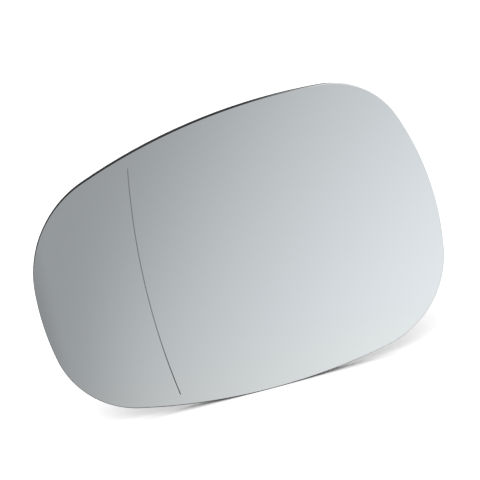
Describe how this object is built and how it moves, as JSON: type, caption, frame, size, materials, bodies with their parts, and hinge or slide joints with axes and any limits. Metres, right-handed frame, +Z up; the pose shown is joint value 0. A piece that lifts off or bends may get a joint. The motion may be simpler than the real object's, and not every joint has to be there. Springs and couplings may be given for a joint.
{
  "type": "car door mirror glass",
  "caption": "Convex left-hand car door mirror glass with a tighter outer zone behind a dividing line, heated, on a ribbed black carrier with a snap collar.",
  "frame": {"origin": "on the snap collar's axis, at the middle of its guiding land", "axes": "+X to the inner (car) side along the width as the face is seen, +Y out of the back along the collar's axis, +Z up; the mirror face looks towards -Y"},
  "size_m": [0.1721, 0.0143, 0.1205],
  "materials": {
    "mirror_glass": "polished silvered glass with a ground edge",
    "heater_film": "satin film",
    "carrier_plastic": "finely grained moulding",
    "spring_wire": "drawn square spring wire",
    "tinned_brass": "tinned sheet",
    "rivet_brass": "plain brass"
  },
  "bodies": {
    "root": {"mirror_glass": "mirror_glass", "heater_film": "heater_film", "carrier_plate": "carrier_plastic", "retaining_spring": "spring_wire", "terminal_upper": "tinned_brass", "terminal_lower": "tinned_brass", "terminal_rivets": "rivet_brass"}
  },
  "joints": []
}
